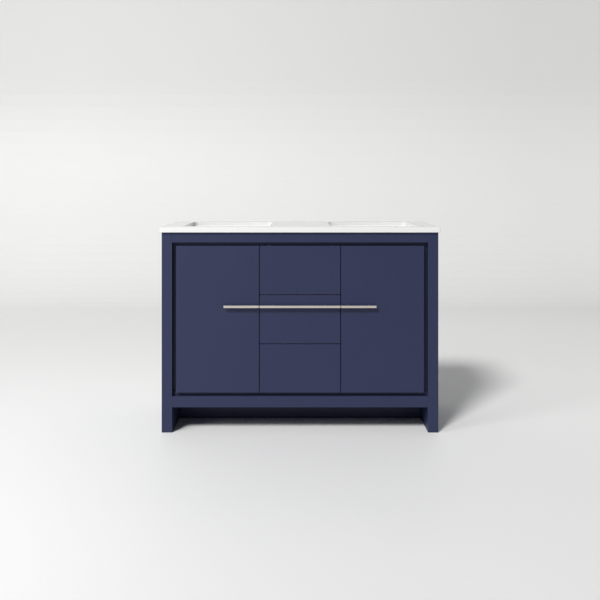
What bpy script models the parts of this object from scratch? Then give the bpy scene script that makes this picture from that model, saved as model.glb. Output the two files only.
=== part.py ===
"""Free-standing double-basin bathroom vanity, modelled as the pieces it is built from.

Metres, +Z up. The front faces -Y. The origin is on the floor, in the middle of the
overall width and of the overall depth, pulls included.
"""

import math

import bmesh
import bpy
from mathutils import Matrix, Vector

# ---- Driving dimensions ------------------------------------------------------------
GAP = 0.0003                 # left between two pieces that touch

TOP_WIDTH = 1.219
TOP_THICK = 0.024
TOP_OVERHANG_FRONT = 0.012
CABINET_WIDTH = 1.205
CABINET_DEPTH = 0.510
CABINET_HEIGHT = 0.872

SIDE_PANEL_THICK = 0.045
BOARD_THICK = 0.018
RAIL_THICK = 0.020
TOP_RAIL_HEIGHT = 0.044
BOTTOM_RAIL_Z = (0.110, 0.158)
TOE_KICK_SETBACK = 0.221
STRETCHER_BACK = 0.038
LINER_FRONT = 0.028          # set back, so that the gaps beside the doors look dark
BACK_RAIL_HEIGHT = 0.100

FRONT_Z = (0.174, 0.813)     # doors and drawer fronts, lowest and highest edge
FRONT_THICK = 0.018
DOOR_X = (0.1786, 0.540)     # a door's inner and outer edge
DRAWER_FRONT_HALF = 0.1752
DRAWER_SEAM = 0.0032

PULL_REACH = 0.024           # how far the pulls stand out of the fronts
PULL_DEPTH = 0.008
PULL_HEIGHT = 0.010
PULL_Z = 0.5510
PULL_POST_RADIUS = 0.005
DRAWER_PULL_HALF = 0.1752
DRAWER_PULL_POST = 0.112
DOOR_PULL_X = (0.1786, 0.331)
DOOR_PULL_POSTS = (0.207, 0.303)

PARTITION_X = (0.168, 0.186)
PARTITION_LOW = 0.735        # height under the basins
BASIN_X = (0.135, 0.515)     # cut-out, from the middle outwards
BASIN_DEPTH_RANGE = (0.054, 0.419)
BASIN_CORNER = 0.022
BASIN_FLANGE = 0.012
BASIN_WALL = 0.007
BASIN_INSIDE = 0.120         # below the top slab
DRAIN_HOLE = 0.0225          # radius
OVERFLOW_RADIUS = 0.009
OVERFLOW_HEIGHT = 0.085      # above the basin's floor

HINGE_EDGE = 0.0095          # hinge axis to the door's outer edge
HINGE_DEPTH = 0.0096         # hinge axis behind the door's face
HINGE_Z = (0.274, 0.713)
CUP_OFFSET = 0.0215          # cup centre to the door's outer edge
CUP_RADIUS = 0.0175
CUP_DEPTH = 0.0125
CUP_WALL = 0.0012
PIN_LENGTH = 0.0214
ARM_WIDTH = 0.011

DRAWER_BOARD = 0.012
DRAWER_BOTTOM = 0.006
DRAWER_BOX_HALF = 0.155
DRAWER_BOX_BACK = 0.450
DRAWER_BOX_Z = ((0.190, 0.360), (0.405, 0.575), (0.620, 0.728))   # from the floor up
GROOVE_DEPTH = 0.005
SLIDE_RANGE = (0.025, 0.425)
SLIDE_METAL = 0.0012
SLIDE_CABINET_INNER = 0.1585
SLIDE_CABINET_HALF = 0.0175  # half height
SLIDE_DRAWER_OUTER = 0.1630
SLIDE_DRAWER_HALF = 0.0120   # half height

FRONT_Y = -(CABINET_DEPTH - PULL_REACH) / 2
LINER_INNER = DOOR_X[1]
CARCASS_FRONT = RAIL_THICK + GAP
BOTTOM_PANEL_TOP = FRONT_Z[0] - 0.0005
BOTTOM_PANEL_Z = (BOTTOM_PANEL_TOP - BOARD_THICK, BOTTOM_PANEL_TOP)
UNDERSIDE = CABINET_HEIGHT - GAP
BASIN_FLOOR = CABINET_HEIGHT - BASIN_INSIDE
SIDES = ((-1, "left"), (1, "right"))


# ---- Scene and materials -----------------------------------------------------------
def clear_scene():
    for obj in list(bpy.data.objects):
        bpy.data.objects.remove(obj, do_unlink=True)


def new_collection(name):
    collection = bpy.data.collections.new(name)
    bpy.context.scene.collection.children.link(collection)
    return collection


def make_material(name, colour, roughness, metallic=0.0):
    material = bpy.data.materials.new(name)
    material.use_nodes = True
    shader = material.node_tree.nodes["Principled BSDF"]
    shader.inputs["Base Color"].default_value = (*colour, 1.0)
    shader.inputs["Roughness"].default_value = roughness
    shader.inputs["Metallic"].default_value = metallic
    return material


clear_scene()
PARTS = new_collection("bathroom_vanity_cabinet")
CUTTERS = new_collection("cutters")

NAVY = make_material("navy_lacquer", (0.045, 0.053, 0.115), 0.5)
STONE = make_material("white_stone", (0.80, 0.80, 0.80), 0.2)
CERAMIC = make_material("white_ceramic", (0.86, 0.86, 0.86), 0.08)
NICKEL = make_material("brushed_nickel", (0.60, 0.56, 0.51), 0.3, 1.0)
CHROME = make_material("chrome", (0.80, 0.80, 0.80), 0.08, 1.0)
STEEL = make_material("hinge_steel", (0.58, 0.58, 0.60), 0.3, 1.0)
ZINC = make_material("slide_zinc", (0.50, 0.51, 0.53), 0.4, 1.0)
BIRCH = make_material("drawer_birch", (0.62, 0.46, 0.29), 0.5)


# ---- Shape helpers -----------------------------------------------------------------
def depth(behind_front):
    """The Y of a point this far behind the cabinet's front face."""
    return FRONT_Y + behind_front


def span(side, inner, outer):
    """The X range of a piece between two distances from the middle, on one side."""
    return tuple(sorted((side * inner, side * outer)))


def add_object(name, data, location, material=None, collection=None):
    obj = bpy.data.objects.new(name, data)
    obj.location = location
    if material:
        data.materials.append(material)
    (collection or PARTS).objects.link(obj)
    return obj


def box(name, x_range, depth_range, z_range, material, collection=None):
    """A board between two X, two distances behind the front, and two heights."""
    low = Vector((x_range[0], depth(depth_range[0]), z_range[0]))
    high = Vector((x_range[1], depth(depth_range[1]), z_range[1]))
    mesh = bpy.data.meshes.new(name)
    bm = bmesh.new()
    bmesh.ops.create_cube(bm, size=1.0)
    bmesh.ops.scale(bm, vec=high - low, verts=bm.verts)
    bm.to_mesh(mesh)
    bm.free()
    return add_object(name, mesh, (low + high) / 2, material, collection)


def cylinder(name, radius, length, location, axis, segments, material=None, collection=None):
    """A round bar centred on a point, along X, Y or Z."""
    turns = {"X": Matrix.Rotation(math.pi / 2, 3, "Y"),
             "Y": Matrix.Rotation(math.pi / 2, 3, "X"),
             "Z": Matrix.Identity(3)}
    mesh = bpy.data.meshes.new(name)
    bm = bmesh.new()
    bmesh.ops.create_cone(bm, cap_ends=True, segments=segments, radius1=radius,
                          radius2=radius, depth=length)
    bmesh.ops.rotate(bm, cent=(0, 0, 0), matrix=turns[axis], verts=bm.verts)
    bm.to_mesh(mesh)
    bm.free()
    obj = add_object(name, mesh, location, material, collection)
    shade_round(obj)
    return obj


def shade_round(obj):
    obj.data.shade_smooth()
    obj.data.set_sharp_from_angle(angle=math.radians(35))


def flat_outline(name, points, thickness, location, material=None, collection=None):
    """A flat shape in the XY plane, with its thickness centred on the location."""
    curve = bpy.data.curves.new(name, "CURVE")
    curve.dimensions = "2D"
    curve.fill_mode = "BOTH"
    curve.extrude = thickness / 2
    spline = curve.splines.new("POLY")
    spline.points.add(len(points) - 1)
    for point, (x, y) in zip(spline.points, points):
        point.co = (x, y, 0.0, 1.0)
    spline.use_cyclic_u = True
    outline = add_object(name + "_outline", curve, location)
    evaluated = outline.evaluated_get(bpy.context.evaluated_depsgraph_get())
    mesh = bpy.data.meshes.new_from_object(evaluated)
    bpy.data.objects.remove(outline, do_unlink=True)
    mesh.materials.clear()
    bm = bmesh.new()
    bm.from_mesh(mesh)
    bmesh.ops.remove_doubles(bm, verts=bm.verts, dist=0.00001)
    bmesh.ops.recalc_face_normals(bm, faces=bm.faces)
    bm.to_mesh(mesh)
    bm.free()
    mesh.name = name
    return add_object(name, mesh, location, material, collection)


def turned(name, profile, location, steps, material, closed):
    """A turned piece: (radius, height) points, run down the outer side."""
    mesh = bpy.data.meshes.new(name)
    edges = [(i, i + 1) for i in range(len(profile) - 1)]
    if closed:
        edges.append((len(profile) - 1, 0))
    mesh.from_pydata([(radius, 0.0, height) for radius, height in profile], edges, [])
    obj = add_object(name, mesh, location, material)
    screw = obj.modifiers.new("turn", "SCREW")
    screw.angle = math.tau
    screw.steps = screw.render_steps = steps
    screw.use_merge_vertices = True
    screw.merge_threshold = 0.00001
    return obj


def combine(obj, other, operation):
    """Cuts or joins a helper shape, which stays hidden in the cutters' collection."""
    modifier = obj.modifiers.new(other.name, "BOOLEAN")
    modifier.operation = operation
    modifier.object = other
    other.hide_render = True
    other.display_type = "WIRE"


def cut(obj, other):
    combine(obj, other, "DIFFERENCE")


def join(obj, other):
    combine(obj, other, "UNION")


def rounded_rectangle(half_x, half_y, radius, corner_steps):
    """Points round a rectangle with round corners, anticlockwise from +X."""
    points = []
    for index, (sx, sy) in enumerate(((1, 1), (-1, 1), (-1, -1), (1, -1))):
        centre = (sx * (half_x - radius), sy * (half_y - radius))
        for step in range(corner_steps + 1):
            angle = (index + step / corner_steps) * math.pi / 2
            points.append((centre[0] + radius * math.cos(angle),
                           centre[1] + radius * math.sin(angle)))
    return points


def hang_on(name, location, pieces):
    """Parents pieces to an empty that stands on their joint's axis."""
    pivot = bpy.data.objects.new(name, None)
    pivot.location = location
    pivot.empty_display_size = 0.05
    PARTS.objects.link(pivot)
    for piece in pieces:
        piece.parent = pivot
        piece.matrix_parent_inverse = Matrix.Translation(location).inverted()


# ---- Cabinet -----------------------------------------------------------------------
def make_frame():
    outer = CABINET_WIDTH / 2
    inner = outer - SIDE_PANEL_THICK
    between = (-inner + GAP, inner - GAP)
    for side, word in SIDES:
        box(f"side_panel_{word}", span(side, inner, outer), (0, CABINET_DEPTH),
            (0, UNDERSIDE), NAVY)
        box(f"side_liner_{word}", span(side, LINER_INNER, inner - GAP),
            (LINER_FRONT, CABINET_DEPTH), (BOTTOM_PANEL_TOP + GAP, UNDERSIDE), NAVY)
    box("top_rail", between, (0, RAIL_THICK), (CABINET_HEIGHT - TOP_RAIL_HEIGHT, UNDERSIDE), NAVY)
    box("bottom_rail", between, (0, RAIL_THICK), BOTTOM_RAIL_Z, NAVY)
    box("toe_kick", between, (TOE_KICK_SETBACK, TOE_KICK_SETBACK + BOARD_THICK),
        (0, BOTTOM_PANEL_Z[0] - GAP), NAVY)


def make_carcass():
    """The bottom panel runs from side to side, and the rest between the liners on it."""
    panel_half = CABINET_WIDTH / 2 - SIDE_PANEL_THICK - GAP
    between = (-LINER_INNER + GAP, LINER_INNER - GAP)
    rail_front = CABINET_DEPTH - BOARD_THICK
    stretcher_z = FRONT_Z[1] + 0.0005
    box("bottom_panel", (-panel_half, panel_half), (CARCASS_FRONT, CABINET_DEPTH),
        BOTTOM_PANEL_Z, NAVY)
    box("front_stretcher", between, (CARCASS_FRONT, STRETCHER_BACK), (stretcher_z, UNDERSIDE), NAVY)
    box("back_rail_top", between, (rail_front, CABINET_DEPTH),
        (UNDERSIDE - BACK_RAIL_HEIGHT, UNDERSIDE), NAVY)
    lower = BOTTOM_PANEL_TOP + GAP
    box("back_rail_bottom", between, (rail_front, CABINET_DEPTH),
        (lower, lower + BACK_RAIL_HEIGHT), NAVY)
    for side, word in SIDES:
        make_partition(side, word, lower, rail_front, stretcher_z)


def make_partition(side, word, lower, rail_front, stretcher_z):
    """Full height behind the basin, and cut low under it and under the stretcher."""
    x_range = span(side, *PARTITION_X)
    wide = (x_range[0] - 0.01, x_range[1] + 0.01)
    post_back = STRETCHER_BACK + GAP
    saddle_back = BASIN_DEPTH_RANGE[1] + BASIN_FLANGE + 0.005
    panel = box(f"partition_{word}", x_range, (CARCASS_FRONT, rail_front - GAP),
                (lower, UNDERSIDE), NAVY)
    cut(panel, box(f"partition_{word}_saddle", wide, (post_back, saddle_back),
                   (PARTITION_LOW, CABINET_HEIGHT + 0.01), NAVY, CUTTERS))
    cut(panel, box(f"partition_{word}_stretcher", wide, (0, post_back + 0.001),
                   (stretcher_z - GAP, CABINET_HEIGHT + 0.01), NAVY, CUTTERS))


# ---- Top, basins and drains --------------------------------------------------------
def basin_centre(side):
    return Vector((side * sum(BASIN_X) / 2, depth(sum(BASIN_DEPTH_RANGE) / 2), 0))


def basin_half():
    return ((BASIN_X[1] - BASIN_X[0]) / 2, (BASIN_DEPTH_RANGE[1] - BASIN_DEPTH_RANGE[0]) / 2)


def make_top():
    half = TOP_WIDTH / 2
    top = box("countertop", (-half, half), (-TOP_OVERHANG_FRONT, CABINET_DEPTH),
              (CABINET_HEIGHT, CABINET_HEIGHT + TOP_THICK), STONE)
    outline = rounded_rectangle(*basin_half(), BASIN_CORNER, 6)
    for side, word in SIDES:
        place = basin_centre(side)
        place.z = CABINET_HEIGHT + TOP_THICK / 2
        cut(top, flat_outline(f"countertop_cutout_{word}", outline, TOP_THICK * 2, place,
                              collection=CUTTERS))


def basin_rings():
    """Rings of the basin's inside, from its flange to its drain hole, as (points, z)."""
    half_x, half_y = basin_half()
    rim = UNDERSIDE
    floor = BASIN_FLOOR
    fillet = 0.020
    wall_slope = 0.006
    steps = 6
    rings = [(rounded_rectangle(half_x + BASIN_FLANGE, half_y + BASIN_FLANGE,
                                BASIN_CORNER + BASIN_FLANGE, steps), rim),
             (rounded_rectangle(half_x, half_y, BASIN_CORNER, steps), rim)]
    for step in range(5):
        angle = step / 4 * math.pi / 2
        inset = wall_slope + fillet * (1 - math.cos(angle))
        height = floor + fillet * (1 - math.sin(angle)) + 0.002
        rings.append((rounded_rectangle(half_x - inset, half_y - inset,
                                        BASIN_CORNER + 0.010, steps), height))
    square = rings[-1][0]
    for blend, drop in ((0.5, 0.001), (1.0, 0.002)):
        rings.append((towards_circle(square, DRAIN_HOLE, blend), floor + 0.002 - drop))
    return rings


def towards_circle(ring, radius, blend):
    """The ring's points, moved part of the way to points spaced evenly round a circle."""
    moved = []
    for index, (x, y) in enumerate(ring):
        angle = (index + 0.5) / len(ring) * math.tau
        moved.append((x + (radius * math.cos(angle) - x) * blend,
                      y + (radius * math.sin(angle) - y) * blend))
    return moved


def make_basin(side, word):
    name = f"basin_{word}"
    bm = bmesh.new()
    loops = [[bm.verts.new((x, y, z)) for x, y in points] for points, z in basin_rings()]
    for upper, lower in zip(loops, loops[1:]):
        for index in range(len(upper)):
            after = (index + 1) % len(upper)
            bm.faces.new((upper[index], upper[after], lower[after], lower[index]))
    mesh = bpy.data.meshes.new(name)
    bm.to_mesh(mesh)
    bm.free()
    basin = add_object(name, mesh, basin_centre(side), CERAMIC)
    shade_round(basin)
    shell = basin.modifiers.new("wall", "SOLIDIFY")
    shell.thickness = BASIN_WALL
    shell.offset = -1
    shell.use_even_offset = True
    shell.use_quality_normals = True
    front_wall = (basin.location.x, depth(BASIN_DEPTH_RANGE[0]), BASIN_FLOOR + OVERFLOW_HEIGHT)
    cut(basin, cylinder(f"{name}_overflow", OVERFLOW_RADIUS, 0.040, front_wall, "Y", 24,
                        collection=CUTTERS))


def make_drain(side, word):
    """A flanged drain with its clamping nut and tail, open down the middle."""
    place = basin_centre(side)
    place.z = BASIN_FLOOR
    profile = [(0.0210, 0.0030), (0.0280, 0.0030), (0.0310, 0.0015), (0.0310, 0.0003),
               (0.0215, 0.0003), (0.0215, -0.0075), (0.0290, -0.0075), (0.0290, -0.0190),
               (0.0215, -0.0190), (0.0215, -0.0400), (0.0165, -0.0430), (0.0165, -0.0950),
               (0.0150, -0.0950), (0.0150, -0.0090), (0.0170, -0.0060), (0.0200, 0.0020)]
    shade_round_turned(turned(f"drain_{word}", profile, place, 32, CHROME, True))


def make_stopper(side, word):
    place = basin_centre(side)
    place.z = BASIN_FLOOR
    profile = [(0.0, 0.0056), (0.0080, 0.0053), (0.0150, 0.0044), (0.0188, 0.0030),
               (0.0190, 0.0018), (0.0162, -0.0048), (0.0040, -0.0060), (0.0040, -0.0450),
               (0.0, -0.0450)]
    stopper = turned(f"stopper_{word}", profile, place, 32, CHROME, False)
    shade_round_turned(stopper)
    hang_on(f"stopper_lift_{word}", place, [stopper])


def shade_round_turned(obj):
    obj.modifiers["turn"].use_smooth_shade = True
    obj.modifiers["turn"].use_normal_calculate = False


# ---- Hinges and doors --------------------------------------------------------------
def hinge_axis(side):
    return Vector((side * (DOOR_X[1] - HINGE_EDGE), depth(HINGE_DEPTH), 0))


def make_cup(side, name, height):
    """The cup let into the door, with its screw flange and the pin that the arm turns on."""
    rear = FRONT_THICK + GAP
    lip = 0.0012
    floor = FRONT_THICK - CUP_DEPTH
    x = side * (DOOR_X[1] - CUP_OFFSET)
    full = rear + lip - floor
    place = (x, depth(floor + full / 2), height)
    cup = cylinder(name, CUP_RADIUS, full, place, "Y", 40, STEEL)
    join(cup, box(name + "_flange", (x - 0.008, x + 0.008), (rear, rear + lip),
                  (height - 0.026, height + 0.026), STEEL, CUTTERS))
    inside = (x, depth(floor + CUP_WALL + full / 2), height)
    cut(cup, cylinder(name + "_inside", CUP_RADIUS - CUP_WALL, full, inside, "Y", 40,
                      collection=CUTTERS))
    pin_place = hinge_axis(side) + Vector((0, 0, height))
    join(cup, cylinder(name + "_pin", 0.0012, PIN_LENGTH, pin_place, "Z", 12, collection=CUTTERS))
    return cup


def make_arm(side, name, height):
    """The goose-necked arm: knuckle on the pin, neck out of the cup, body and plate."""
    strip = 0.0024
    reach = 0.0165               # pin to the neck's far face
    cross_back = 0.0340          # behind the front face
    body_side = 0.0120           # from the door's outer edge
    body_back = 0.0880
    plate = (GAP, 0.0022)
    foot = (HINGE_DEPTH - strip / 2, HINGE_DEPTH + strip / 2)
    far = HINGE_EDGE + reach
    outline = [(HINGE_EDGE, foot[0]), (far, foot[0]), (far, cross_back),
               (body_side, cross_back + 0.008), (body_side, body_back), (plate[1], body_back),
               (plate[1], cross_back - strip), (far - strip, cross_back - strip),
               (far - strip, foot[1]), (HINGE_EDGE, foot[1])]
    points = [(side * (DOOR_X[1] - inward), depth(behind)) for inward, behind in outline]
    arm = flat_outline(name, points, ARM_WIDTH, (0, 0, height), STEEL)
    knuckle = hinge_axis(side) + Vector((0, 0, height))
    join(arm, cylinder(name + "_knuckle", 0.0025, ARM_WIDTH, knuckle, "Z", 20, collection=CUTTERS))
    cut(arm, cylinder(name + "_bore", 0.0015, 0.0300, knuckle, "Z", 20, collection=CUTTERS))
    inner, outer = DOOR_X[1] - plate[1] - 0.0005, DOOR_X[1] - plate[0]
    join(arm, box(name + "_plate", span(side, inner, outer), (0.050, 0.086),
                  (height - 0.022, height + 0.022), STEEL, CUTTERS))


def make_door(side, word):
    name = f"door_{word}"
    door = box(name, span(side, *DOOR_X), (0, FRONT_THICK), FRONT_Z, NAVY)
    pieces = [door]
    for level, height in zip(("lower", "upper"), HINGE_Z):
        x = side * (DOOR_X[1] - CUP_OFFSET)
        pocket_floor = FRONT_THICK - CUP_DEPTH - GAP
        place = (x, depth(pocket_floor + 0.010), height)
        cut(door, cylinder(f"{name}_pocket_{level}", CUP_RADIUS + GAP, 0.020, place, "Y", 40,
                           collection=CUTTERS))
        pieces.append(make_cup(side, f"hinge_cup_{word}_{level}", height))
        make_arm(side, f"hinge_arm_{word}_{level}", height)
    pieces.append(make_pull(f"pull_door_{word}", span(side, *DOOR_PULL_X),
                            [side * x for x in DOOR_PULL_POSTS]))
    hang_on(f"door_hinge_{word}", hinge_axis(side), pieces)


def make_pull(name, x_range, posts):
    """A square bar on two round posts."""
    bar = box(name, x_range, (-PULL_REACH, -PULL_REACH + PULL_DEPTH),
              (PULL_Z - PULL_HEIGHT / 2, PULL_Z + PULL_HEIGHT / 2), NICKEL)
    post_start = -PULL_REACH + PULL_DEPTH / 2
    for index, x in enumerate(posts):
        place = (x, depth((post_start - GAP) / 2), PULL_Z)
        join(bar, cylinder(f"{name}_post_{index}", PULL_POST_RADIUS, -GAP - post_start,
                           place, "Y", 24, collection=CUTTERS))
    return bar


# ---- Drawers -----------------------------------------------------------------------
def drawer_rows():
    """Each drawer's name, its front's heights and its box's heights, from the floor up."""
    seams = 2
    height = (FRONT_Z[1] - FRONT_Z[0] - seams * DRAWER_SEAM) / (seams + 1)
    for index, (word, box_z) in enumerate(zip(("bottom", "middle", "top"), DRAWER_BOX_Z)):
        low = FRONT_Z[0] + index * (height + DRAWER_SEAM)
        yield word, (low, low + height), box_z


def make_channel(name, side, inner, outer, half_height, centre, opens_outward):
    """A slide member: a C-shaped steel section, open towards its partner."""
    x_range = span(side, inner, outer)
    channel = box(name, x_range, SLIDE_RANGE, (centre - half_height, centre + half_height), ZINC)
    web = (inner + SLIDE_METAL, outer + 0.01) if opens_outward else (inner - 0.01, outer - SLIDE_METAL)
    clear = half_height - SLIDE_METAL
    cut(channel, box(name + "_hollow", span(side, *web), (0, CABINET_DEPTH),
                     (centre - clear, centre + clear), ZINC, CUTTERS))
    return channel


def make_slide(word, side, side_word, centre):
    """Two members: one on the partition, and a narrower one on the drawer inside it."""
    name = f"slide_{word}_{side_word}"
    make_channel(name + "_cabinet", side, SLIDE_CABINET_INNER, PARTITION_X[0] - GAP,
                 SLIDE_CABINET_HALF, centre, False)
    return make_channel(name + "_drawer", side, DRAWER_BOX_HALF + GAP, SLIDE_DRAWER_OUTER,
                        SLIDE_DRAWER_HALF, centre, True)


def make_drawer_box(word, box_z):
    """Two grooved sides, and a back that stands on the bottom."""
    low, high = box_z
    start = FRONT_THICK + GAP
    inner = DRAWER_BOX_HALF - DRAWER_BOARD
    bottom_z = (low + 0.010, low + 0.010 + DRAWER_BOTTOM)
    pieces = []
    for side, side_word in SIDES:
        name = f"drawer_{word}_side_{side_word}"
        board = box(name, span(side, inner, DRAWER_BOX_HALF), (start, DRAWER_BOX_BACK), box_z, BIRCH)
        cut(board, box(name + "_groove", span(side, inner - 0.01, inner + GROOVE_DEPTH + GAP),
                       (0, CABINET_DEPTH), (bottom_z[0] - GAP, bottom_z[1] + GAP), BIRCH, CUTTERS))
        pieces.append(board)
        pieces.append(make_slide(word, side, side_word, (low + high) / 2))
    reach = inner + GROOVE_DEPTH
    pieces.append(box(f"drawer_{word}_bottom", (-reach, reach), (start, DRAWER_BOX_BACK),
                      bottom_z, BIRCH))
    pieces.append(box(f"drawer_{word}_back", (-inner + GAP, inner - GAP),
                      (DRAWER_BOX_BACK - DRAWER_BOARD, DRAWER_BOX_BACK),
                      (bottom_z[1] + GAP, high), BIRCH))
    return pieces


def make_drawer(word, front_z, box_z):
    front = box(f"drawer_{word}_front", (-DRAWER_FRONT_HALF, DRAWER_FRONT_HALF),
                (0, FRONT_THICK), front_z, NAVY)
    pieces = [front] + make_drawer_box(word, box_z)
    if front_z[0] < PULL_Z < front_z[1]:
        pieces.append(make_pull("pull_drawer", (-DRAWER_PULL_HALF, DRAWER_PULL_HALF),
                                (-DRAWER_PULL_POST, DRAWER_PULL_POST)))
    hang_on(f"drawer_{word}_runner", (0, depth(0), sum(box_z) / 2), pieces)


make_frame()
make_carcass()
make_top()
for side, word in SIDES:
    make_basin(side, word)
    make_drain(side, word)
    make_stopper(side, word)
    make_door(side, word)
for row in drawer_rows():
    make_drawer(*row)
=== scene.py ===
"""Looks for the bathroom vanity: studio, materials and finely made pieces round the frame."""

import math

import bmesh
import bpy
from mathutils import Matrix, Vector


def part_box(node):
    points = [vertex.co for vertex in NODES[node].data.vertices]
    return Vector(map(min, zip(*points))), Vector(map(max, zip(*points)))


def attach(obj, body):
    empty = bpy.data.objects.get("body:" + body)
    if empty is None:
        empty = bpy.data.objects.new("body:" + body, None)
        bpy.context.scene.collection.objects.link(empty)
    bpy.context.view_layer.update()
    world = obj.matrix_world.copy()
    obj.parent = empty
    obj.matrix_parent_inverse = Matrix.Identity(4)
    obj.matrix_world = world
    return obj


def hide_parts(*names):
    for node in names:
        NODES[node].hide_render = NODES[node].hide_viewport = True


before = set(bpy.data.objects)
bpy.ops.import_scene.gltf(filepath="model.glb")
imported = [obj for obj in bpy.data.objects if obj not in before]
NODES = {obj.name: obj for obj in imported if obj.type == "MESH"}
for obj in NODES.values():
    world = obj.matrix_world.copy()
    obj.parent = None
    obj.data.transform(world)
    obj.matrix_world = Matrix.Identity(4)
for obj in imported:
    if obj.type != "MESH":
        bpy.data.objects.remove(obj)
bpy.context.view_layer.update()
SIDES = ("left", "right")
LEVELS = ("lower", "upper")
ROWS = ("top", "middle", "bottom")
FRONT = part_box("side_panel_left")[0].y


# ---- Camera, floor and light -------------------------------------------------------
def make_camera():
    """A level camera in front of the cabinet, at a standing person's chest height."""
    data = bpy.data.cameras.new("camera")
    data.sensor_width = 36.0
    data.lens = 49.6
    data.shift_y = -0.20
    camera = bpy.data.objects.new("camera", data)
    camera.location = (0.0, FRONT - 3.60, 1.10)
    camera.rotation_euler = (math.pi / 2, 0.0, 0.0)
    bpy.context.scene.collection.objects.link(camera)
    bpy.context.scene.camera = camera


def make_backdrop():
    """A pale floor that curves up into a wall, well behind the cabinet."""
    near, bend_start, bend_radius, top = -14.0, 3.2, 2.2, 8.0
    steps = 24
    profile = [(near, 0.0), (bend_start, 0.0)]
    for step in range(1, steps + 1):
        angle = step / steps * math.pi / 2
        profile.append((bend_start + bend_radius * math.sin(angle),
                        bend_radius * (1 - math.cos(angle))))
    profile.append((bend_start + bend_radius, top))
    bm = bmesh.new()
    rows = [[bm.verts.new((x, y, z)) for x in (-16.0, 16.0)] for y, z in profile]
    for first, second in zip(rows, rows[1:]):
        bm.faces.new((first[0], first[1], second[1], second[0]))
    floor = mesh_object("floor", bm, floor_material())


def make_light():
    """A soft key from the left, front and above, a low fill, and a pale studio."""
    add_light("key", "SUN", Vector((0.36, 0.66, -0.66)), energy=2.55,
              angle=math.radians(13.0), color=(1.0, 0.995, 0.98))
    fill = add_light("fill", "AREA", Vector((0.80, 0.50, -0.33)), energy=49.0, size=1.2)
    fill.location = (-2.9, FRONT - 2.0, 1.9)
    bpy.context.scene.world = studio_world(0.165, 0.70)
    bpy.context.scene.view_settings.view_transform = "Standard"


def add_light(name, kind, travel, **settings):
    light = bpy.data.lights.new(name, kind)
    for key, value in settings.items():
        setattr(light, key, value)
    lamp = bpy.data.objects.new(name, light)
    lamp.rotation_mode = "QUATERNION"
    lamp.rotation_quaternion = travel.to_track_quat("-Z", "Y")
    bpy.context.scene.collection.objects.link(lamp)
    return lamp


def studio_world(light, seen):
    """Lights the scene softly, and looks pale behind the floor's edge."""
    world = bpy.data.worlds.new("studio")
    world.use_nodes = True
    nodes, links = world.node_tree.nodes, world.node_tree.links
    background = nodes["Background"]
    background.inputs["Color"].default_value = (0.97, 0.985, 1.0, 1.0)
    path = nodes.new("ShaderNodeLightPath")
    level = nodes.new("ShaderNodeMapRange")
    level.inputs["To Min"].default_value = light
    level.inputs["To Max"].default_value = seen
    links.new(path.outputs["Is Camera Ray"], level.inputs["Value"])
    links.new(level.outputs["Result"], background.inputs["Strength"])
    return world


# ---- Materials ---------------------------------------------------------------------
class Graph:
    """A Principled material, with short calls for the nodes that feed it."""

    def __init__(self, name, colour, roughness, metallic=0.0, **sockets):
        self.material = bpy.data.materials.new(name)
        self.material.use_nodes = True
        self.tree = self.material.node_tree
        self.shader = self.tree.nodes["Principled BSDF"]
        self.shader.inputs["Base Color"].default_value = (*colour, 1.0)
        self.shader.inputs["Roughness"].default_value = roughness
        self.shader.inputs["Metallic"].default_value = metallic
        for socket, value in sockets.items():
            self.shader.inputs[socket.replace("_", " ")].default_value = value

    def add(self, kind, inputs, **settings):
        """Adds a node; an input is a plain value or another node's output."""
        node = self.tree.nodes.new("ShaderNode" + kind)
        for key, value in settings.items():
            setattr(node, key, value)
        for key, value in inputs.items():
            if isinstance(value, bpy.types.NodeSocket):
                self.tree.links.new(value, node.inputs[key])
            else:
                node.inputs[key].default_value = value
        return node

    def position(self, stretch=(1.0, 1.0, 1.0)):
        """The point on the piece at rest, stretched along the axes."""
        place = self.add("TexCoord", {}).outputs["Object"]
        return self.add("Mapping", {"Vector": place, "Scale": stretch}).outputs["Vector"]

    def noise(self, scale, stretch=(1.0, 1.0, 1.0), detail=3.0, distortion=0.0):
        inputs = {"Vector": self.position(stretch), "Scale": scale, "Detail": detail,
                  "Distortion": distortion}
        return self.add("TexNoise", inputs).outputs["Fac"]

    def cells(self, scale, stretch=(1.0, 1.0, 1.0), output="Distance"):
        inputs = {"Vector": self.position(stretch), "Scale": scale}
        return self.add("TexVoronoi", inputs).outputs[output]

    def remap(self, value, low, high, start=0.0, end=1.0):
        inputs = {"Value": value, "From Min": start, "From Max": end, "To Min": low,
                  "To Max": high}
        return self.add("MapRange", inputs).outputs["Result"]

    def scale(self, value, factor):
        return self.add("Math", {0: value, 1: factor}, operation="MULTIPLY").outputs[0]

    def mix(self, factor, first, second):
        """A colour between two others, which are colours or outputs."""
        node = self.add("Mix", {}, data_type="RGBA")
        sockets = {6: first, 7: second}
        self.tree.links.new(factor, node.inputs[0])
        for index, value in sockets.items():
            if isinstance(value, bpy.types.NodeSocket):
                self.tree.links.new(value, node.inputs[index])
            else:
                node.inputs[index].default_value = (*value, 1.0)
        return node.outputs[2]

    def feed(self, socket, value):
        self.tree.links.new(value, self.shader.inputs[socket])

    def bump(self, height, strength, distance, under=None):
        inputs = {"Height": height, "Strength": strength, "Distance": distance}
        if under is not None:
            inputs["Normal"] = under
        return self.add("Bump", inputs).outputs["Normal"]


def shade(colour, factor):
    return tuple(channel * factor for channel in colour)


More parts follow.
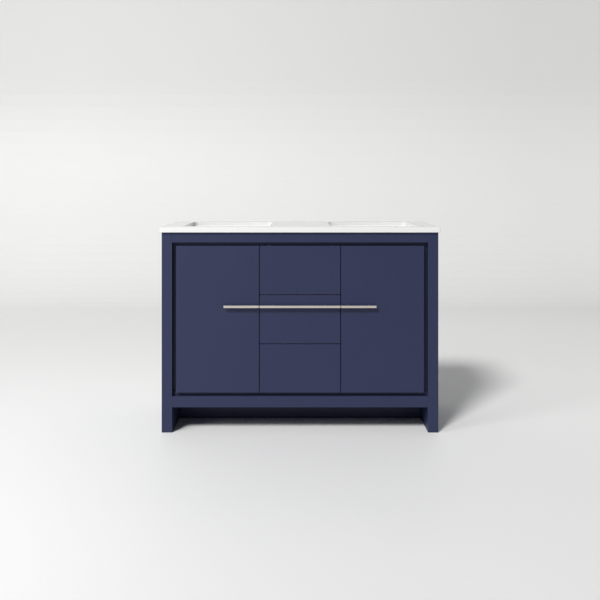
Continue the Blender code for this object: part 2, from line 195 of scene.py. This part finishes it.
def floor_material():
    """Pale floor paint with painted shade: darker behind the cabinet and towards the right, where the
    light falls off.
    """
    g = Graph("floor_paint_painted_shade", (0.85, 0.85, 0.85), 0.6)
    place = g.add("SeparateXYZ", {"Vector": g.position()}).outputs
    near = g.mix(g.noise(0.8), (0.885, 0.888, 0.89), (0.90, 0.90, 0.90))
    # Painted shade: the colour darkens from left to right and from near to far, standing in for light
    # falling off.
    far_painted_falloff = g.mix(g.remap(place[0], 0.0, 1.0, -2.5, 2.5), (0.79, 0.79, 0.79), (0.685, 0.685, 0.688))
    g.feed("Base Color", g.mix(g.remap(place[1], 0.0, 1.0, 0.6, 3.2), near, far_painted_falloff))
    g.feed("Roughness", g.remap(g.noise(3.0), 0.55, 0.65))
    return g.material


def navy_lacquer():
    """Sprayed matte lacquer: a faint orange peel, and cloudy colour and gloss."""
    navy = (0.0181, 0.0240, 0.0675)
    g = Graph("navy_lacquer", navy, 0.5, Specular_IOR_Level=0.35)
    g.feed("Base Color", g.mix(g.noise(5.0, detail=4.0), shade(navy, 0.95), shade(navy, 1.06)))
    g.feed("Roughness", g.remap(g.noise(55.0), 0.44, 0.56))
    peel = g.bump(g.noise(650.0, detail=2.0), 0.10, 0.0003)
    g.feed("Normal", g.bump(g.noise(28.0, detail=2.0), 0.05, 0.001, peel))
    return g.material


def white_stone():
    """Honed white engineered stone with fine pale and grey specks."""
    g = Graph("white_stone", (0.735, 0.735, 0.732), 0.2, Coat_Weight=0.15, Coat_Roughness=0.12)
    body = g.mix(g.noise(35.0, detail=6.0), (0.738, 0.738, 0.736), (0.766, 0.766, 0.765))
    grey = g.remap(g.cells(300.0), 1.0, 0.0, 0.0, 0.20)
    pale = g.remap(g.cells(190.0, stretch=(1.1, 0.9, 1.0)), 1.0, 0.0, 0.0, 0.22)
    speckled = g.mix(g.scale(grey, 0.45), body, (0.56, 0.56, 0.55))
    g.feed("Base Color", g.mix(g.scale(pale, 0.5), speckled, (0.82, 0.82, 0.82)))
    g.feed("Roughness", g.remap(g.noise(90.0), 0.16, 0.27))
    g.feed("Normal", g.bump(g.noise(400.0, detail=2.0), 0.03, 0.0002))
    return g.material


def white_ceramic():
    """Glazed sanitary ware: glossy, with the slow waves of a fired glaze."""
    g = Graph("white_ceramic", (0.865, 0.865, 0.862), 0.08, Coat_Weight=0.5, Coat_Roughness=0.03)
    g.feed("Base Color", g.mix(g.noise(9.0), (0.856, 0.857, 0.853), (0.876, 0.877, 0.876)))
    g.feed("Roughness", g.remap(g.noise(30.0), 0.05, 0.12))
    g.feed("Normal", g.bump(g.noise(14.0, detail=1.0), 0.06, 0.002))
    return g.material


def brushed(name, colour, along, low, high):
    """Metal brushed along an axis: fine streaks in gloss, tone and relief."""
    stretch = tuple(0.01 if axis == along else 1.0 for axis in "XYZ")
    g = Graph(name, colour, 0.3, 1.0, Anisotropic=0.35)
    streaks = g.noise(1400.0, stretch, detail=4.0)
    g.feed("Base Color", g.mix(streaks, shade(colour, 0.90), shade(colour, 1.07)))
    g.feed("Roughness", g.remap(g.noise(900.0, stretch, detail=3.0), low, high))
    g.feed("Normal", g.bump(streaks, 0.12, 0.0002))
    return g.material


def chrome():
    colour = (0.80, 0.81, 0.82)
    g = Graph("chrome", colour, 0.06, 1.0)
    g.feed("Base Color", g.mix(g.noise(20.0), shade(colour, 0.97), shade(colour, 1.02)))
    g.feed("Roughness", g.remap(g.noise(120.0, detail=5.0), 0.03, 0.11))
    g.feed("Normal", g.bump(g.noise(60.0), 0.02, 0.0005))
    return g.material


def hinge_steel():
    """Nickel-plated stampings, slightly uneven where they were rolled."""
    colour = (0.60, 0.60, 0.61)
    g = Graph("hinge_steel", colour, 0.28, 1.0)
    g.feed("Base Color", g.mix(g.noise(160.0, detail=5.0), shade(colour, 0.93), shade(colour, 1.05)))
    g.feed("Roughness", g.remap(g.noise(300.0), 0.20, 0.36))
    g.feed("Normal", g.bump(g.noise(220.0), 0.08, 0.0003))
    return g.material


def slide_zinc():
    """Zinc-plated steel: faint spangle with rolling marks along the slide."""
    colour = (0.50, 0.51, 0.53)
    g = Graph("slide_zinc", colour, 0.38, 1.0)
    spangle = g.remap(g.cells(130.0, output="Color"), 0.0, 1.0)
    marks = g.noise(1100.0, (1.0, 0.01, 1.0))
    tone = g.mix(spangle, shade(colour, 0.88), shade(colour, 1.08))
    g.feed("Base Color", g.mix(g.scale(marks, 0.4), tone, shade(colour, 0.80)))
    g.feed("Roughness", g.remap(marks, 0.30, 0.46))
    g.feed("Normal", g.bump(marks, 0.08, 0.0002))
    return g.material


def birch(name, along):
    """Rotary-cut birch under clear lacquer, with its grain along an axis."""
    stretch = tuple(0.07 if axis == along else 1.0 for axis in "XYZ")
    light, dark = (0.69, 0.53, 0.35), (0.53, 0.37, 0.21)
    g = Graph(name, light, 0.42, Coat_Weight=0.15, Coat_Roughness=0.3)
    figure = g.noise(34.0, stretch, detail=4.0, distortion=1.4)
    pores = g.noise(520.0, stretch, detail=3.0)
    wood = g.mix(g.remap(figure, 0.0, 1.0, 0.32, 0.70), light, dark)
    g.feed("Base Color", g.mix(g.remap(pores, 0.0, 0.35, 0.55, 0.75), wood, shade(dark, 0.65)))
    g.feed("Roughness", g.remap(pores, 0.36, 0.52))
    g.feed("Normal", g.bump(pores, 0.10, 0.0002))
    return g.material


def birch_plies(name, across):
    """The edge of the birch boards: thin plies of turning grain."""
    index = "XYZ".index(across)
    ply = 0.0015
    light, dark = (0.66, 0.50, 0.33), (0.40, 0.27, 0.15)
    g = Graph(name, light, 0.6)
    place = g.add("SeparateXYZ", {"Vector": g.position()}).outputs[index]
    turns = g.add("Math", {0: place, 1: math.pi / ply}, operation="MULTIPLY").outputs[0]
    wave = g.add("Math", {0: turns}, operation="SINE").outputs[0]
    fibres = g.noise(700.0, detail=3.0)
    layered = g.mix(g.remap(wave, 0.0, 1.0, -0.5, 0.5), light, dark)
    g.feed("Base Color", g.mix(g.remap(fibres, 0.0, 0.3, 0.4, 0.8), layered, shade(dark, 0.8)))
    g.feed("Normal", g.bump(wave, 0.15, 0.0002))
    return g.material


NAVY = navy_lacquer()
STONE = white_stone()
CERAMIC = white_ceramic()
NICKEL = brushed("brushed_nickel", (0.765, 0.71, 0.65), "X", 0.24, 0.40)
CHROME = chrome()
STEEL = hinge_steel()
ZINC = slide_zinc()
BIRCH_LONG = birch("birch_along_y", "Y")
BIRCH_WIDE = birch("birch_along_x", "X")
PLIES_X = birch_plies("birch_plies_x", "X")
PLIES_Y = birch_plies("birch_plies_y", "Y")


# ---- Mesh helpers ------------------------------------------------------------------
def mesh_object(name, bm, material):
    """An object at the world's origin, whose place is in its mesh."""
    bmesh.ops.recalc_face_normals(bm, faces=bm.faces)
    mesh = bpy.data.meshes.new(name)
    bm.to_mesh(mesh)
    bm.free()
    mesh.materials.append(material)
    obj = bpy.data.objects.new(name, mesh)
    bpy.context.scene.collection.objects.link(obj)
    return obj


def smooth(obj, degrees=35.0):
    obj.data.shade_smooth()
    obj.data.set_sharp_from_angle(angle=math.radians(degrees))
    return obj


def piece(obj, body, replaces=None):
    """Puts a made piece on its body, and hides the CAD node that it replaces, if any."""
    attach(obj, body)
    if replaces:
        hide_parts(replaces)
    return obj


def bevel(obj, width, segments=3, degrees=30.0):
    modifier = obj.modifiers.new("edges", "BEVEL")
    modifier.width = width
    modifier.segments = segments
    modifier.limit_method = "ANGLE"
    modifier.angle_limit = math.radians(degrees)
    modifier.harden_normals = True
    return modifier


def add_box(bm, low, high):
    matrix = Matrix.Translation((low + high) / 2) @ Matrix.Diagonal((*(high - low), 1.0))
    return bmesh.ops.create_cube(bm, size=1.0, matrix=matrix)["verts"]


def add_turned(bm, profile, steps, place=Matrix.Identity(4), closed=False):
    """A turned shape about Z from (radius, height) points; zero radii close on the axis."""
    rings = []
    for radius, height in profile:
        count = 1 if radius == 0.0 else steps
        angles = [turn / steps * math.tau for turn in range(count)]
        rings.append([bm.verts.new(place @ Vector((radius * math.cos(a), radius * math.sin(a), height)))
                      for a in angles])
    pairs = list(zip(rings, rings[1:]))
    if closed:
        pairs.append((rings[-1], rings[0]))
    for first, second in pairs:
        for turn in range(steps):
            after = (turn + 1) % steps
            corners = [first[turn % len(first)], first[after % len(first)],
                       second[after % len(second)], second[turn % len(second)]]
            bm.faces.new(list(dict.fromkeys(corners)))


def rounded_ring(half_x, half_y, radius, corner_steps, side_steps):
    """Points round a rectangle with round corners, with points along its sides too."""
    points = []
    for index, (sx, sy) in enumerate(((1, 1), (-1, 1), (-1, -1), (1, -1))):
        centre = Vector((sx * (half_x - radius), sy * (half_y - radius)))
        for step in range(corner_steps + 1):
            angle = (index + step / corner_steps) * math.pi / 2
            points.append(centre + radius * Vector((math.cos(angle), math.sin(angle))))
        following = ((-1, 1), (-1, -1), (1, -1), (1, 1))[index]
        corner = Vector((following[0] * (half_x - radius), following[1] * (half_y - radius)))
        turn = (index + 1) * math.pi / 2
        side_end = corner + radius * Vector((math.cos(turn), math.sin(turn)))
        side_start = points[-1]
        for step in range(1, side_steps):
            points.append(side_start.lerp(side_end, step / side_steps))
    return points


def loft(bm, rings):
    """Joins rings of the same number of vertices."""
    for first, second in zip(rings, rings[1:]):
        for index in range(len(first)):
            after = (index + 1) % len(first)
            bm.faces.new((first[index], first[after], second[after], second[index]))


# ---- Boards and metal parts that keep their CAD shape -----------------------------
def refine(node, material, edge, segments=3):
    """A CAD node keeps its shape, with eased edges and its own material."""
    obj = NODES[node]
    obj.data.materials.clear()
    obj.data.materials.append(material)
    if "custom_normal" in obj.data.attributes:
        obj.data.attributes.remove(obj.data.attributes["custom_normal"])
    obj.data.shade_smooth()
    weld = obj.modifiers.new("weld", "WELD")
    weld.merge_threshold = 0.00002
    flats = obj.modifiers.new("flats", "DECIMATE")
    flats.decimate_type = "DISSOLVE"
    flats.angle_limit = math.radians(0.5)
    bevel(obj, edge, segments)
    return obj


def refine_cabinet():
    boards = ["top_rail", "bottom_rail", "toe_kick", "bottom_panel", "front_stretcher",
              "back_rail_top", "back_rail_bottom"]
    for word in SIDES:
        boards += [f"side_panel_{word}", f"side_liner_{word}", f"partition_{word}", f"door_{word}"]
    boards += [f"drawer_{row}_front" for row in ROWS]
    for node in boards:
        refine(node, NAVY, 0.0004)


def edge_faces(obj, material, across):
    """Gives the narrow faces of a board, those not facing along one axis, a second material."""
    obj.data.materials.append(material)
    for polygon in obj.data.polygons:
        if abs(polygon.normal["XYZ".index(across)]) < 0.5:
            polygon.material_index = 1


def refine_drawers():
    for row in ROWS:
        for word in SIDES:
            side = refine(f"drawer_{row}_side_{word}", BIRCH_LONG, 0.0006)
            edge_faces(side, PLIES_X, "X")
            refine(f"slide_{row}_{word}_cabinet", ZINC, 0.0003, 2)
            refine(f"slide_{row}_{word}_drawer", ZINC, 0.0003, 2)
        back = refine(f"drawer_{row}_back", BIRCH_WIDE, 0.0006)
        edge_faces(back, PLIES_Y, "Y")
        refine(f"drawer_{row}_bottom", BIRCH_LONG, 0.0004)


def refine_hinges():
    for word in SIDES:
        for level in LEVELS:
            refine(f"hinge_arm_{word}_{level}", STEEL, 0.0003, 2)
            refine(f"hinge_cup_{word}_{level}", STEEL, 0.00015, 2)


# ---- Top and basins ----------------------------------------------------------------
CORNER = 0.022               # radius of a cut-out's corners
FLANGE = 0.012               # a basin's flange, under the slab
WALL = 0.007                 # a basin's thickness
FILLET = 0.022               # between a basin's walls and its floor
WALL_SLOPE = 0.006           # how far a wall leans in on its way down
OVERFLOW_RADIUS = 0.009
OVERFLOW_HEIGHT = 0.085      # above the basin's floor
DRAIN_FLANGE = 0.003         # the drain's height above the basin's floor


def cutout(word):
    """The middle and the half sizes of a basin's cut-out."""
    low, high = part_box(f"basin_{word}")
    middle = (low + high) / 2
    return middle, (high.x - low.x) / 2 - FLANGE, (high.y - low.y) / 2 - FLANGE


def make_countertop():
    """The slab, with eased edges outside and round both cut-outs."""
    low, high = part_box("countertop")
    ease = 0.0016
    levels = [(0.0, low.z + ease), (ease * 0.29, low.z + ease * 0.29), (ease, low.z)]
    bm = bmesh.new()
    outlines = [(Vector(((low.x + high.x) / 2, (low.y + high.y) / 2)), (high.x - low.x) / 2,
                 (high.y - low.y) / 2, 0.003, -1)]
    for word in SIDES:
        middle, half_x, half_y = cutout(word)
        outlines.append((middle.xy, half_x, half_y, CORNER, 1))
    for top_side in (False, True):
        edges = []
        for centre, half_x, half_y, radius, grow in outlines:
            rings = []
            for inset, z in levels:
                z = low.z + high.z - z if top_side else z
                ring = rounded_ring(half_x + grow * inset, half_y + grow * inset,
                                    radius + max(grow, 0) * inset, 12, 1)
                rings.append([bm.verts.new((*(centre + point), z)) for point in ring])
            loft(bm, rings)
            rim = rings[-1]
            edges += [bm.edges.get((rim[i], rim[(i + 1) % len(rim)])) for i in range(len(rim))]
        bmesh.ops.triangle_fill(bm, use_beauty=True, edges=edges)
    walls = [edge for edge in bm.edges if edge.is_boundary]
    bmesh.ops.bridge_loops(bm, edges=walls, use_pairs=True)
    slab = smooth(mesh_object("countertop_slab", bm, STONE), 50.0)
    flat = slab.modifiers.new("flat_faces", "WEIGHTED_NORMAL")
    flat.weight = 100
    flat.keep_sharp = True
    return piece(slab, "cabinet", "countertop")


def basin_rings(middle, half_x, half_y, rim, floor):
    """The basin's inside from its flange to its drain, as points and heights."""
    corner_steps, side_steps = 10, 6
    well = 0.0022
    drain_radius = 0.0222
    rings = [(rounded_ring(half_x + FLANGE, half_y + FLANGE, CORNER + FLANGE, corner_steps,
                           side_steps), rim),
             (rounded_ring(half_x + 0.0012, half_y + 0.0012, CORNER, corner_steps, side_steps), rim),
             (rounded_ring(half_x, half_y, CORNER, corner_steps, side_steps), rim - 0.0012)]
    for step in range(4):
        share = (step + 1) / 5
        inset = WALL_SLOPE * share
        rings.append((rounded_ring(half_x - inset, half_y - inset, CORNER + 0.008 * share,
                                   corner_steps, side_steps),
                      rim + (floor + FILLET - rim) * share))
    for step in range(8):
        angle = step / 7 * math.pi / 2
        inset = WALL_SLOPE + FILLET * (1 - math.cos(angle))
        rings.append((rounded_ring(half_x - inset, half_y - inset, CORNER + 0.010, corner_steps,
                                   side_steps), floor + well + FILLET * (1 - math.sin(angle))))
    square = rings[-1][0]
    for share in (0.25, 0.5, 0.7, 0.85, 0.95, 1.0):
        ring = []
        for index, point in enumerate(square):
            angle = (index / len(square)) * math.tau + math.atan2(square[0].y, square[0].x)
            target = drain_radius * Vector((math.cos(angle), math.sin(angle)))
            ring.append(point.lerp(target, share))
        rings.append((ring, floor + well * (1 - share)))
    return [[(*(middle.xy + point), z) for point in ring] for ring, z in rings]


def drain_seat(word):
    """The height of the basin's floor, where the drain's flange rests."""
    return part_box(f"drain_{word}")[1].z - DRAIN_FLANGE


def make_basin(word):
    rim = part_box(f"basin_{word}")[1].z
    middle, half_x, half_y = cutout(word)
    floor = drain_seat(word)
    bm = bmesh.new()
    rings = basin_rings(middle, half_x, half_y, rim, floor)
    loft(bm, [[bm.verts.new(point) for point in ring] for ring in rings])
    basin = mesh_object(f"basin_bowl_{word}", bm, CERAMIC)
    basin.data.flip_normals()
    basin.data.shade_smooth()
    shell = basin.modifiers.new("wall", "SOLIDIFY")
    shell.thickness = WALL
    shell.offset = -1
    shell.use_even_offset = True
    apply_modifiers(basin)
    make_overflow(word, basin, rim, floor)
    return piece(basin, "cabinet", f"basin_{word}")


def make_overflow(word, basin, rim, floor):
    """A hole through the front wall, with a chrome ring that leans with the wall."""
    middle, _, half_y = cutout(word)
    lean = WALL_SLOPE / (rim - floor - FILLET)
    z = floor + OVERFLOW_HEIGHT
    on_wall = facing((middle.x, middle.y - half_y + (rim - z) * lean, z), (0.0, 1.0, lean))
    hole = bmesh.new()
    bmesh.ops.create_cone(hole, cap_ends=True, segments=48, radius1=OVERFLOW_RADIUS,
                          radius2=OVERFLOW_RADIUS, depth=0.040, matrix=on_wall)
    tool = mesh_object(f"overflow_cutter_{word}", hole, CERAMIC)
    opening = basin.modifiers.new("overflow", "BOOLEAN")
    opening.operation = "DIFFERENCE"
    opening.object = tool
    apply_modifiers(basin)
    bpy.data.objects.remove(tool, do_unlink=True)
    smooth(basin, 50.0)
    profile = [(0.0078, -0.0040), (0.0078, 0.0008), (0.0084, 0.0014), (0.0112, 0.0014),
               (0.0124, 0.0006), (0.0125, 0.0001), (0.0088, 0.0001), (0.0088, -0.0040)]
    ring = bmesh.new()
    add_turned(ring, profile, 48, on_wall, closed=True)
    piece(smooth(mesh_object(f"overflow_ring_{word}", ring, CHROME), 30.0), "cabinet")


def make_seal(word):
    """The bead of silicone between the slab and the basin."""
    middle, half_x, half_y = cutout(word)
    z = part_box(f"basin_{word}")[1].z
    bead = 0.0009
    bm = bmesh.new()
    rings = []
    for turn in range(6):
        angle = turn / 6 * math.tau
        grow = bead * math.cos(angle) + bead * 0.4
        ring = rounded_ring(half_x + grow, half_y + grow, CORNER + grow, 10, 6)
        rings.append([bm.verts.new((*(middle.xy + point), z + bead * 0.6 * math.sin(angle)))
                      for point in ring])
    loft(bm, rings + rings[:1])
    bead_piece = smooth(mesh_object(f"silicone_bead_{word}", bm, CERAMIC), 80.0)
    return piece(bead_piece, "cabinet")


def make_drain(word):
    """The flanged drain, its threaded body, its clamping nut and its tail."""
    low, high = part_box(f"drain_{word}")
    place = Matrix.Translation(((low.x + high.x) / 2, (low.y + high.y) / 2, drain_seat(word)))
    profile = [(0.0204, 0.0024), (0.0212, 0.0030), (0.0268, 0.0030), (0.0296, 0.0025),
               (0.0308, 0.0014), (0.0310, 0.0003), (0.0215, 0.0003), (0.0215, -0.0078)]
    profile += [(0.0284, -0.0078), (0.0290, -0.0084), (0.0290, -0.0184), (0.0284, -0.0190)]
    pitch, top, threads = 0.0015, -0.0190, 13
    for turn in range(threads):
        start = top - turn * pitch
        profile += [(0.0209, start - pitch * 0.2), (0.0215, start - pitch * 0.7)]
    profile += [(0.0209, -0.0392), (0.0165, -0.0430), (0.0165, -0.0944), (0.0161, -0.0950),
                (0.0150, -0.0950), (0.0150, -0.0090), (0.0170, -0.0060), (0.0199, 0.0016)]
    bm = bmesh.new()
    add_turned(bm, profile, 64, place, closed=True)
    return piece(smooth(mesh_object(f"drain_fitting_{word}", bm, CHROME), 25.0), "cabinet",
                 f"drain_{word}")


def make_stopper(word):
    """The domed push-up stopper, with a step round its edge and its stem."""
    low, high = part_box(f"stopper_{word}")
    place = Matrix.Translation(((low.x + high.x) / 2, (low.y + high.y) / 2, drain_seat(word)))
    profile = [(0.0, 0.0056)]
    profile += [(0.0170 * math.sin(a), 0.0040 + 0.0016 * math.cos(a))
                for a in (step / 8 * math.pi / 2 for step in range(1, 9))]
    profile += [(0.0174, 0.0036), (0.0180, 0.0036), (0.0188, 0.0030), (0.0190, 0.0019),
                (0.0188, 0.0010), (0.0162, -0.0048), (0.0040, -0.0060), (0.0040, -0.0450),
                (0.0, -0.0450)]
    bm = bmesh.new()
    add_turned(bm, profile, 64, place)
    return piece(smooth(mesh_object(f"stopper_dome_{word}", bm, CHROME), 30.0),
                 f"stopper_{word}", f"stopper_{word}")


# ---- Pulls -------------------------------------------------------------------------
def post_places(node):
    """The X of each post of a pull, from the post ends that meet the front."""
    obj = NODES[node]
    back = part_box(node)[1].y
    ends = sorted(v.co.x for v in obj.data.vertices if v.co.y > back - 0.0001)
    middle = (ends[0] + ends[-1]) / 2
    groups = ([x for x in ends if x < middle], [x for x in ends if x > middle])
    return [(group[0] + group[-1]) / 2 for group in groups]


def make_pull(node, body):
    """The square bar with eased edges, and two posts with a small foot each."""
    low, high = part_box(node)
    bar_depth = 0.008
    bm = bmesh.new()
    add_box(bm, low, Vector((high.x, low.y + bar_depth, high.z)))
    bar = mesh_object(f"{node}_bar", bm, NICKEL)
    bar.data.shade_smooth()
    bevel(bar, 0.0007, 3)
    piece(bar, body, node)
    reach = high.y - (low.y + bar_depth)
    profile = [(0.0, -0.001), (0.0050, -0.001), (0.0050, reach - 0.0012),
               (0.0049, reach - 0.0004), (0.0045, reach), (0.0, reach)]
    for index, x in enumerate(post_places(node)):
        place = Matrix.Translation((x, low.y + bar_depth, (low.z + high.z) / 2))
        post = bmesh.new()
        add_turned(post, profile, 40, place @ Matrix.Rotation(-math.pi / 2, 4, "X"))
        piece(smooth(mesh_object(f"{node}_post_{index + 1}", post, NICKEL)), body)


# ---- Small fasteners ---------------------------------------------------------------
def add_screw(bm, place, radius, head):
    """A domed screw head with a cross recess, facing +Z of its place."""
    profile = [(0.0, head)]
    profile += [(radius * math.sin(a), head * math.cos(a))
                for a in (step / 5 * math.pi / 2 for step in range(1, 6))]
    profile += [(radius * 0.5, -0.0004), (0.0, -0.0004)]
    add_turned(bm, profile, 24, place)


def screw_group(name, body, places, radius, head):
    """Screw heads, each with a cross cut into its top."""
    bm = bmesh.new()
    for place in places:
        add_screw(bm, place, radius, head)
    heads = smooth(mesh_object(name, bm, STEEL), 50.0)
    cutter = bmesh.new()
    arm, width, deep = radius * 0.62, radius * 0.13, head * 0.75
    for place in places:
        for long_x in (True, False):
            size = Vector((arm, width, deep)) if long_x else Vector((width, arm, deep))
            matrix = place @ Matrix.Translation((0, 0, head)) @ Matrix.Diagonal((*(size * 2), 1.0))
            bmesh.ops.create_cube(cutter, size=1.0, matrix=matrix)
    tool = mesh_object(name + "_cutter", cutter, STEEL)
    recess = heads.modifiers.new("recess", "BOOLEAN")
    recess.operation = "DIFFERENCE"
    recess.object = tool
    recess.use_self = True
    apply_modifiers(heads)
    bpy.data.objects.remove(tool, do_unlink=True)
    return piece(heads, body)


def apply_modifiers(obj):
    evaluated = obj.evaluated_get(bpy.context.evaluated_depsgraph_get())
    mesh = bpy.data.meshes.new_from_object(evaluated)
    obj.modifiers.clear()
    obj.data = mesh


def facing(point, direction):
    """A place at a point whose +Z looks along a direction."""
    turn = Vector(direction).to_track_quat("Z", "Y").to_matrix().to_4x4()
    return Matrix.Translation(point) @ turn


def make_hinge_screws(word, level):
    low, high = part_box(f"hinge_cup_{word}_{level}")
    middle = (low + high) / 2
    wing = 0.0045
    places = [facing((middle.x, high.y, z), (0, 1, 0)) for z in (low.z + wing, high.z - wing)]
    screw_group(f"cup_screws_{word}_{level}", f"door_{word}", places, 0.0034, 0.0014)
    low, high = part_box(f"hinge_arm_{word}_{level}")
    inward = 1 if word == "left" else -1
    plate_face = (low.x if inward > 0 else high.x) + inward * 0.0019
    places = [facing((plate_face, high.y - 0.017, z), (inward, 0, 0))
              for z in (low.z + 0.0065, high.z - 0.0065)]
    body_face = (low.x if inward > 0 else high.x) + inward * 0.0117
    places += [facing((body_face, high.y - offset, (low.z + high.z) / 2), (inward, 0, 0))
               for offset in (0.010, 0.034)]
    screw_group(f"plate_screws_{word}_{level}", "cabinet", places, 0.0032, 0.0014)


def make_ball_cage(row, word):
    """The two rows of balls of the slide's ball cage, between the two members near the slide's front.
    """
    low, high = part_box(f"slide_{row}_{word}_cabinet")
    drawer_low, drawer_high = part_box(f"slide_{row}_{word}_drawer")
    middle_z = (low.z + high.z) / 2
    outward = -1 if word == "left" else 1
    x = (drawer_high.x if outward > 0 else drawer_low.x) - outward * 0.0022
    race = ((drawer_high.z - middle_z) + (high.z - 0.0012 - middle_z)) / 2
    radius = 0.0019
    bm = bmesh.new()
    count, pitch = 9, 0.010
    for side in (-1, 1):
        for index in range(count):
            place = Vector((x, low.y + 0.006 + index * pitch, middle_z + side * race))
            bmesh.ops.create_uvsphere(bm, u_segments=12, v_segments=8, radius=radius,
                                      matrix=Matrix.Translation(place))
    cage = smooth(mesh_object(f"ball_cage_{row}_{word}", bm, CHROME), 80.0)
    piece(cage, "cabinet")


def make_small_parts():
    for word in SIDES:
        for level in LEVELS:
            make_hinge_screws(word, level)
        for row in ROWS:
            make_ball_cage(row, word)


make_camera()
make_backdrop()
make_light()
refine_cabinet()
refine_drawers()
refine_hinges()
make_countertop()
for word in SIDES:
    make_basin(word)
    make_seal(word)
    make_drain(word)
    make_stopper(word)
    make_pull(f"pull_door_{word}", f"door_{word}")
make_pull("pull_drawer", "drawer_middle")
make_small_parts()
